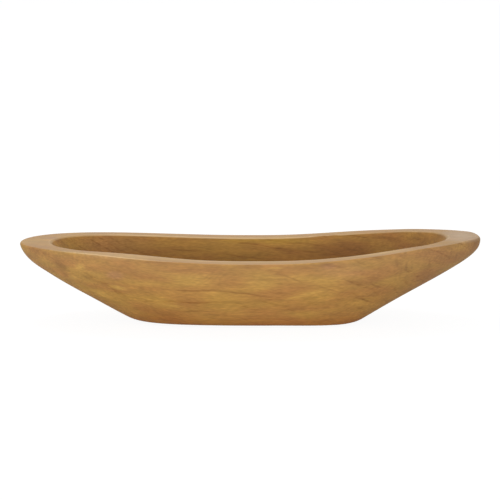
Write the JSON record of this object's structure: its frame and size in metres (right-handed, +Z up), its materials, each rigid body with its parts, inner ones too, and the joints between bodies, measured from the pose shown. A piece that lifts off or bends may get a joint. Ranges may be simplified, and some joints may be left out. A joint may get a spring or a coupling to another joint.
{
  "type": "oval wooden bowl",
  "caption": "Long oval bowl carved from one block of wood, with a flat foot, flared flanks, upswept ends, a broad flat rim and a smooth hollow, for serving or display.",
  "frame": {"origin": "on the table, under the middle of the bowl", "axes": "+X along the bowl to its higher end, +Y to the back, +Z up"},
  "size_m": [0.5082, 0.18, 0.0956],
  "materials": {
    "wood": "satin oil",
    "rubber": "matte"
  },
  "bodies": {
    "root": {"bowl_body": "wood", "bumper_front_left": "rubber", "bumper_front_right": "rubber", "bumper_back_left": "rubber", "bumper_back_right": "rubber"}
  },
  "joints": []
}
